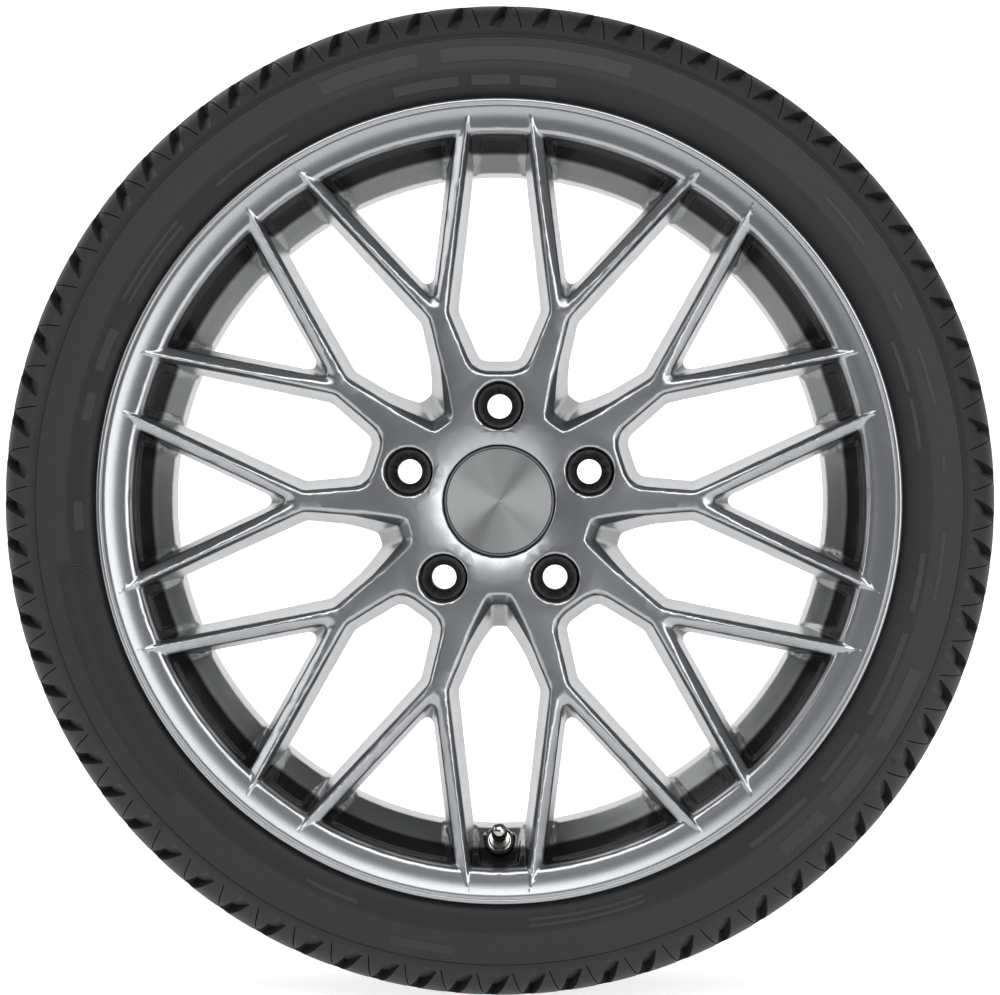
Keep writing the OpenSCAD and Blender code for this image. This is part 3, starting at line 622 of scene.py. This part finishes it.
def rim_line(points, width):
    """A closed raised line on the side wall, its top half as wide as its foot."""
    rows = []
    n = len(points)
    flat = [(r * math.sin(math.radians(c)), r * math.cos(math.radians(c))) for c, r in points]
    for i, (x, z) in enumerate(flat):
        after, before = flat[(i + 1) % n], flat[i - 1]
        dx, dz = after[0] - before[0], after[1] - before[1]
        size = math.hypot(dx, dz)
        nx, nz = -dz / size * width / 2, dx / size * width / 2
        y = wall_at(math.hypot(x, z))
        rows += [(x + side * nx, y + rise, z + side * nz)
                 for side, rise in ((-1, relief_height), (-0.5, -relief_height),
                                    (0.5, -relief_height), (1, relief_height))]
    mesh = bpy.data.meshes.new("rim_line")
    mesh.from_pydata([(x * mm, y * mm, z * mm) for x, y, z in rows], [],
                     [(i * 4 + j, i * 4 + (j + 1) % 4,
                       (i + 1) % n * 4 + (j + 1) % 4, (i + 1) % n * 4 + j)
                      for i in range(n) for j in range(4)])
    obj = bpy.data.objects.new("rim_line", mesh)
    bpy.context.scene.collection.objects.link(obj)
    return edited(obj, lambda: bpy.ops.mesh.normals_make_consistent(inside=False))


relief += [rim_line(stadium(16.5, 241, 261, 245, inset), panel_line) for inset in (0, 1.9)]
for i in range(pointers):
    bpy.ops.object.select_all(action="DESELECT")
    bpy.ops.mesh.primitive_cone_add(vertices=3, radius1=2.4 * mm, radius2=1.9 * mm, depth=1.4 * mm)
    pointer = bpy.context.object
    bpy.ops.object.transform_apply(location=True, rotation=True, scale=True)
    pointer.data.transform(Matrix.Translation((0, -94.4 * mm, 275.7 * mm))
                           @ Matrix.Rotation(math.radians(33 + 90), 4, "X"))
    relief.append(on_clock(pointer, 20.6 + 360 / pointers * i))
relief = joined(relief, "sidewall_relief", weld / 10)
alone(relief)
bpy.ops.object.shade_smooth_by_angle(angle=math.radians(30))

# The relief is the same rubber, coloured a little brighter than the wall.
moulded_relief, shader = finish_for("moulded_relief_rubber")
place = add(moulded_relief, "ShaderNodeTexCoord").outputs["Object"]
grain = add(moulded_relief, "ShaderNodeTexNoise", {"Vector": place, "Scale": 1400, "Detail": 3})
tone = add(moulded_relief, "ShaderNodeMix",
           {"Factor": grain.outputs["Fac"], "A": linear("#303031"), "B": linear("#3c3c3d")},
           data_type="RGBA")
fill(moulded_relief, shader, {"Base Color": tone.outputs["Result"], "Roughness": 0.55,
                              "Specular IOR Level": 0.3})
worn(relief, moulded_relief)
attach(relief, "wheel_body")

# ---------------------------------------------------------------- centre cap
# A glass-filled nylon cap, moulded in black, snaps into the hub bore with eight hooks that
# a wire ring spreads. A spun aluminium disc is glued into its front, in a thin ring of grey foil.
foil_r, foil_half = 31.6 * mm, 0.35 * mm
black_nylon, shader = finish_for("moulded_black_nylon")
place = add(black_nylon, "ShaderNodeTexCoord").outputs["Object"]
grain = add(black_nylon, "ShaderNodeTexNoise", {"Vector": place, "Scale": 2000, "Detail": 2})
tone = add(black_nylon, "ShaderNodeMix",
           {"Factor": grain.outputs["Fac"], "A": linear("#1e2021"), "B": linear("#2c2e30")},
           data_type="RGBA")
flat = add(black_nylon, "ShaderNodeVectorMath", {0: place, 1: (1, 0, 1)}, operation="MULTIPLY")
out = add(black_nylon, "ShaderNodeVectorMath", {0: flat.outputs["Vector"]}, operation="LENGTH")
foil = add(black_nylon, "ShaderNodeMath", {0: out.outputs["Value"], 1: foil_r, 2: foil_half},
           operation="COMPARE").outputs["Value"]
tone = add(black_nylon, "ShaderNodeMix",
           {"Factor": foil, "A": tone.outputs["Result"], "B": linear("#85888b")},
           data_type="RGBA")
metal = add(black_nylon, "ShaderNodeMath", {0: foil, 1: 0.9}, operation="MULTIPLY")
fill(black_nylon, shader, {"Base Color": tone.outputs["Result"], "Metallic": metal.outputs["Value"],
                           "Roughness": 0.38, "IOR": 1.53})
worn(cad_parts["cap_body"], black_nylon)

# Aluminium turned in fine rings, which stretch each light into a fan from the middle.
spun_aluminium, shader = finish_for("spun_aluminium")
place = add(spun_aluminium, "ShaderNodeTexCoord").outputs["Object"]
ring = add(spun_aluminium, "ShaderNodeTexWave",
           {"Vector": place, "Scale": 900, "Distortion": 0.4},
           wave_type="RINGS", rings_direction="Y")
tone = add(spun_aluminium, "ShaderNodeMix",
           {"Factor": ring.outputs["Fac"], "A": linear("#8d8f90"), "B": linear("#b3b4b5")},
           data_type="RGBA")
around = add(spun_aluminium, "ShaderNodeTangent", direction_type="RADIAL", axis="Y")
fill(spun_aluminium, shader, {"Base Color": tone.outputs["Result"], "Metallic": 1,
                              "Roughness": 0.34, "Anisotropic": 0.95,
                              "Tangent": around.outputs["Tangent"]})
worn(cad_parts["cap_disc"], spun_aluminium)

# Drawn spring wire, oiled, for the cap's ring and the valve core's coil.
spring_steel, shader = finish_for("spring_steel_wire")
place = add(spring_steel, "ShaderNodeTexCoord").outputs["Object"]
grain = add(spring_steel, "ShaderNodeTexNoise", {"Vector": place, "Scale": 1500, "Detail": 2})
tone = add(spring_steel, "ShaderNodeMix",
           {"Factor": grain.outputs["Fac"], "A": linear("#7c7d7e"), "B": linear("#a3a4a4")},
           data_type="RGBA")
fill(spring_steel, shader, {"Base Color": tone.outputs["Result"], "Metallic": 1, "Roughness": 0.35})
worn(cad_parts["cap_spring_ring"], spring_steel)

# ---------------------------------------------------------------- valve
# A clamp-in tubeless valve: a nickel-plated stem is drawn through the rim on a rubber
# grommet by a washer and a hexagon nut. A brass core with a sprung pin closes it.

# Polished nickel plate on the pieces that show.
nickel, shader = finish_for("nickel_plate")
place = add(nickel, "ShaderNodeTexCoord").outputs["Object"]
grain = add(nickel, "ShaderNodeTexNoise", {"Vector": place, "Scale": 900, "Detail": 2})
tone = add(nickel, "ShaderNodeMix",
           {"Factor": grain.outputs["Fac"], "A": linear("#9c9b97"), "B": linear("#bcbbb7")},
           data_type="RGBA")
fill(nickel, shader, {"Base Color": tone.outputs["Result"], "Metallic": 1, "Roughness": 0.18})
for name in ("valve_stem", "valve_washer", "valve_nut", "valve_cap"):
    worn(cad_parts[name], nickel)

# Bright turned brass inside the valve.
brass, shader = finish_for("turned_brass")
place = add(brass, "ShaderNodeTexCoord").outputs["Object"]
grain = add(brass, "ShaderNodeTexNoise", {"Vector": place, "Scale": 1800, "Detail": 2})
tone = add(brass, "ShaderNodeMix",
           {"Factor": grain.outputs["Fac"], "A": linear("#b08d3c"), "B": linear("#cdae62")},
           data_type="RGBA")
fill(brass, shader, {"Base Color": tone.outputs["Result"], "Metallic": 1, "Roughness": 0.25})
for name in ("valve_core_body", "valve_core_pin"):
    worn(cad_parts[name], brass)

# Moulded seals, with the mould's fine grain.
seal_rubber, shader = finish_for("moulded_seal_rubber")
place = add(seal_rubber, "ShaderNodeTexCoord").outputs["Object"]
grain = add(seal_rubber, "ShaderNodeTexNoise", {"Vector": place, "Scale": 1600, "Detail": 3})
tone = add(seal_rubber, "ShaderNodeMix",
           {"Factor": grain.outputs["Fac"], "A": linear("#19191a"), "B": linear("#262626")},
           data_type="RGBA")
fill(seal_rubber, shader, {"Base Color": tone.outputs["Result"], "Roughness": 0.5})
for name in ("valve_grommet", "valve_core_seal", "valve_cap_gasket"):
    worn(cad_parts[name], seal_rubber)

# The core's coil of music wire stands between the body's shoulder and the pin's collar, and the
# pin's 1.2 mm of travel would shorten it. It is copied here as one fixed shape.
coil = worn(edited(copied(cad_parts["valve_core_spring"], "core_spring_coil"),
                   lambda: bpy.ops.mesh.remove_doubles(threshold=weld)), spring_steel)
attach(coil, "wheel_body")
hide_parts("valve_core_spring")
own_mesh(coil)

# ---------------------------------------------------------------- studio
# The wheel stands on white paper before a white backdrop, lit by four soft boxes, and the
# camera looks along its axis from 2.6 m, as in the photograph.
floor_z = -295 * mm
side_x, near_y, far_y, high_z = 2.6, -1.2, 1.6, 1.8
paper_glow = 0.8
photo_px = 1000
px_per_slope = 4283         # pixels that one metre covers at one metre from the camera


def sweep(name, corners, material):
    """One flat sheet of the studio."""
    mesh = bpy.data.meshes.new(name)
    mesh.from_pydata(corners, [], [(0, 1, 2, 3)])
    obj = bpy.data.objects.new(name, mesh)
    bpy.context.scene.collection.objects.link(obj)
    worn(obj, material)
    return obj


white_paper, shader = finish_for("white_studio_paper")
ray = add(white_paper, "ShaderNodeLightPath")
seen = add(white_paper, "ShaderNodeMath",
           {0: ray.outputs["Is Camera Ray"], 1: ray.outputs["Is Glossy Ray"]}, operation="MAXIMUM")
seen = add(white_paper, "ShaderNodeMath",
           {0: seen.outputs["Value"], 1: ray.outputs["Is Transmission Ray"]}, operation="MAXIMUM")
glow = add(white_paper, "ShaderNodeMath", {0: seen.outputs["Value"], 1: paper_glow},
           operation="MULTIPLY")
fill(white_paper, shader, {"Base Color": linear("#f2f2f2"), "Roughness": 0.9,
                           "Emission Color": linear("#ffffff"),
                           "Emission Strength": glow.outputs["Value"]})
sweep("floor", [(-side_x, near_y, floor_z), (side_x, near_y, floor_z),
                (side_x, far_y, floor_z), (-side_x, far_y, floor_z)], white_paper)
sweep("backdrop", [(-side_x, far_y, floor_z), (side_x, far_y, floor_z),
                   (side_x, far_y, high_z), (-side_x, far_y, high_z)], white_paper)


def soft_box(name, place, size, power):
    """A rectangular lamp of size metres and power watts, facing the wheel."""
    lamp = bpy.data.lights.new(name, "AREA")
    lamp.shape = "RECTANGLE"
    lamp.size, lamp.size_y = size
    lamp.energy = power
    obj = bpy.data.objects.new(name, lamp)
    bpy.context.scene.collection.objects.link(obj)
    obj.location = place
    obj.rotation_euler = (-obj.location).to_track_quat("-Z", "Y").to_euler()
    obj.visible_camera = False


soft_box("right_box", (1.25, -1.9, 0.2), (1.1, 1.8), 23)
soft_box("top_box", (-0.1, -1.9, 1.25), (2.0, 0.9), 25)
soft_box("left_box", (-2.1, -0.5, 0.7), (0.7, 1.4), 9)
soft_box("rear_box", (-0.9, 1.2, 1.5), (1.0, 0.7), 4)

world = bpy.data.worlds.new("studio_air")
bpy.context.scene.world = world
world.use_nodes = True
air = world.node_tree.nodes["Background"]
air.inputs["Color"].default_value = linear("#dcdee0")
air.inputs["Strength"].default_value = 0.14

camera = bpy.data.cameras.new("camera")
camera_at = bpy.data.objects.new("camera", camera)
bpy.context.scene.collection.objects.link(camera_at)
camera_at.location = (0.020, -2.6, 0.015)
look = Vector((0, -0.09, 0)) - camera_at.location
camera_at.rotation_euler = look.to_track_quat("-Z", "Y").to_euler()
camera.sensor_width = 36
camera.lens = px_per_slope / photo_px * camera.sensor_width
camera.shift_x, camera.shift_y = 0.0008, 0.0035
bpy.context.scene.camera = camera_at
bpy.context.scene.view_settings.view_transform = "Standard"
